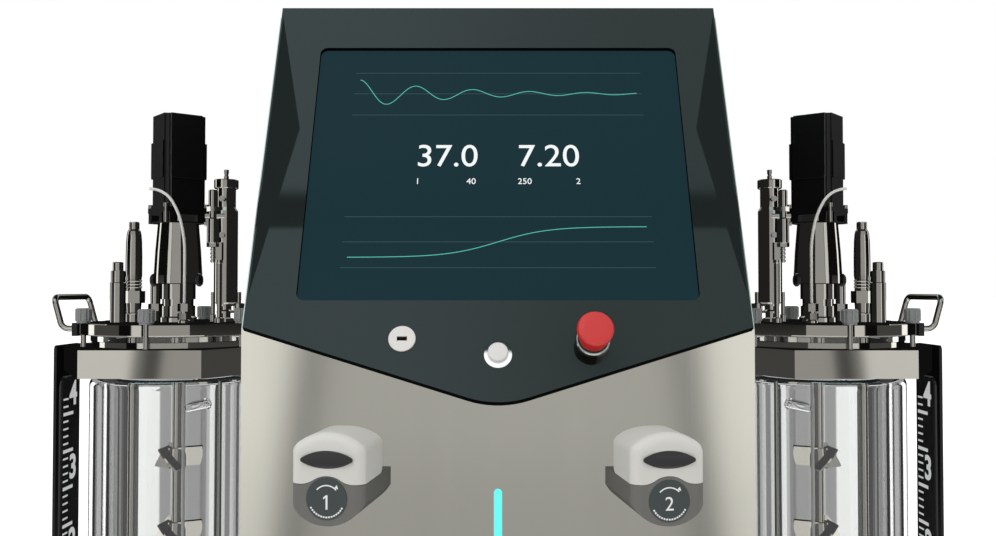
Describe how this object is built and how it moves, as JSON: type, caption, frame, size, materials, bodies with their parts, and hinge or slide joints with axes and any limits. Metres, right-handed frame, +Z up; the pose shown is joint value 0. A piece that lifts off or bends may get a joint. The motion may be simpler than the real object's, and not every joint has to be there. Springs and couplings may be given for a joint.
{
  "type": "bench bioreactor",
  "caption": "Bench bioreactor: control tower with slanted touch panel and tubing pumps, flanked by jacketed stirred glass vessels in clamp stands.",
  "frame": {"origin": "on the bench, under the middle of the whole machine", "axes": "+X to the right seen from the front, -Y towards the user, +Z up"},
  "size_m": [0.944, 0.4882, 0.7062],
  "materials": {
    "body_paint": "satin powder coat",
    "cover_paint": "satin powder coat",
    "panel_dark": "satin dark grey",
    "display_gloss": "bonded display glass",
    "pearl_disc": "pearl",
    "bright_steel": "electropolished stainless",
    "flange_steel": "fine satin stainless",
    "red_plastic": "gloss red",
    "teal_light": "lit diffuser",
    "black_plastic": "matte black",
    "rubber_black": "matte",
    "silicone": "translucent silicone",
    "chassis_aluminium": "plain",
    "motor_black": "satin black",
    "stand_black": "satin black",
    "strip_gloss": "gloss dark grey",
    "pump_grey": "satin grey",
    "pump_white": "off white",
    "pump_dark": "dark grey",
    "roller_white": "natural nylon",
    "clear_glass": "clear borosilicate"
  },
  "bodies": {
    "machine": {"agitator_motor_left": "motor_black", "agitator_motor_right": "motor_black", "base_plate": "cover_paint", "clamp_flange_left": "flange_steel", "clamp_flange_right": "flange_steel", "clamp_nuts": "bright_steel", "clamp_studs": "bright_steel", "condenser_left": "bright_steel", "condenser_right": "bright_steel", "control_module": "chassis_aluminium", "drive_hub_left": "bright_steel", "drive_hub_right": "bright_steel", "estop_collar": "bright_steel", "feet": "rubber_black", "front_fascia": "panel_dark", "gas_tubes": "bright_steel", "handle_sockets": "black_plastic", "head_plate_left": "flange_steel", "head_plate_right": "flange_steel", "hub_knobs": "black_plastic", "lift_handles": "bright_steel", "light_strip": "teal_light", "long_probes": "bright_steel", "plate_seals": "silicone", "port_fittings": "bright_steel", "power_inlet": "black_plastic", "pump_body_left": "pump_grey", "pump_body_right": "pump_grey", "pump_gearmotors": "motor_black", "pump_hinge_pins": "bright_steel", "rear_panel": "cover_paint", "rear_ports": "bright_steel", "stand_strips": "strip_gloss", "start_bezel": "bright_steel", "switch_frame": "black_plastic", "touchscreen": "display_gloss", "tower_shell": "body_paint", "transfer_valves": "bright_steel", "usb_port": "pearl_disc", "vessel_glass_left": "clear_glass", "vessel_glass_right": "clear_glass", "vessel_stands": "stand_black"},
    "start_cap": {"start_cap": "pearl_disc"},
    "estop_stem": {"estop_stem": "black_plastic"},
    "estop_head": {"estop_head": "red_plastic"},
    "switch_rocker": {"switch_rocker": "black_plastic"},
    "pump_lid_left": {"pump_lid_left": "pump_white", "lid_grip_left": "pump_dark"},
    "pump_rotor_left": {"pump_rotor_left": "bright_steel"},
    "roller_a_left": {"roller_a_left": "roller_white"},
    "roller_b_left": {"roller_b_left": "roller_white"},
    "agitator_left": {"agitator_shaft_left": "bright_steel", "impellers_left": "bright_steel"},
    "pump_lid_right": {"pump_lid_right": "pump_white", "lid_grip_right": "pump_dark"},
    "pump_rotor_right": {"pump_rotor_right": "bright_steel"},
    "roller_a_right": {"roller_a_right": "roller_white"},
    "roller_b_right": {"roller_b_right": "roller_white"},
    "agitator_right": {"agitator_shaft_right": "bright_steel", "impellers_right": "bright_steel"}
  },
  "joints": [
    {"name": "start_press", "type": "slide", "parent": "machine", "child": "start_cap", "axis": [0, 0.907, -0.421], "range_m": [0, 0.002], "stiffness_N_per_m": 600},
    {"name": "estop_press", "type": "slide", "parent": "machine", "child": "estop_stem", "axis": [0, 0.907, -0.421], "range_m": [0, 0.004]},
    {"name": "estop_twist", "type": "hinge", "parent": "estop_stem", "child": "estop_head", "pos_m": [0.076, -0.19275, 0.39729], "axis": [0, 0.907, -0.421], "range_deg": [0, 45], "stiffness_Nm_per_rad": 0.05},
    {"name": "switch_rock", "type": "hinge", "parent": "machine", "child": "switch_rocker", "pos_m": [-0.105, 0.21508, 0.07], "axis": [-1, 0, 0], "range_deg": [0, 16]},
    {"name": "lid_open_left", "type": "hinge", "parent": "machine", "child": "pump_lid_left", "pos_m": [-0.11925, -0.19287, 0.2935], "axis": [-0.9906, 0.1366, 0], "range_deg": [0, 60]},
    {"name": "rotor_spin_left", "type": "hinge", "parent": "machine", "child": "pump_rotor_left", "pos_m": [-0.1223, -0.21496, 0.283], "axis": [-0.1366, -0.9906, 0], "continuous": true},
    {"name": "roller_a_spin_left", "type": "hinge", "parent": "pump_rotor_left", "child": "roller_a_left", "pos_m": [-0.13319, -0.21346, 0.283], "axis": [-0.1366, -0.9906, 0], "continuous": true},
    {"name": "roller_b_spin_left", "type": "hinge", "parent": "pump_rotor_left", "child": "roller_b_left", "pos_m": [-0.1114, -0.21646, 0.283], "axis": [-0.1366, -0.9906, 0], "continuous": true},
    {"name": "agitator_spin_left", "type": "hinge", "parent": "machine", "child": "agitator_left", "pos_m": [-0.35, 0.107, 0.3], "axis": [0, 0, 1], "continuous": true},
    {"name": "lid_open_right", "type": "hinge", "parent": "machine", "child": "pump_lid_right", "pos_m": [0.11925, -0.19287, 0.2935], "axis": [-0.9906, -0.1366, 0], "range_deg": [0, 60]},
    {"name": "rotor_spin_right", "type": "hinge", "parent": "machine", "child": "pump_rotor_right", "pos_m": [0.1223, -0.21496, 0.283], "axis": [0.1366, -0.9906, 0], "continuous": true},
    {"name": "roller_a_spin_right", "type": "hinge", "parent": "pump_rotor_right", "child": "roller_a_right", "pos_m": [0.13319, -0.21346, 0.283], "axis": [0.1366, -0.9906, 0], "continuous": true},
    {"name": "roller_b_spin_right", "type": "hinge", "parent": "pump_rotor_right", "child": "roller_b_right", "pos_m": [0.1114, -0.21646, 0.283], "axis": [0.1366, -0.9906, 0], "continuous": true},
    {"name": "agitator_spin_right", "type": "hinge", "parent": "machine", "child": "agitator_right", "pos_m": [0.35, 0.107, 0.3], "axis": [0, 0, 1], "continuous": true}
  ],
  "couplings": [
    {"joint": "roller_a_spin_left", "follows": "rotor_spin_left", "ratio": -3.4444},
    {"joint": "roller_b_spin_left", "follows": "rotor_spin_left", "ratio": -3.4444},
    {"joint": "roller_a_spin_right", "follows": "rotor_spin_right", "ratio": -3.4444},
    {"joint": "roller_b_spin_right", "follows": "rotor_spin_right", "ratio": -3.4444}
  ]
}
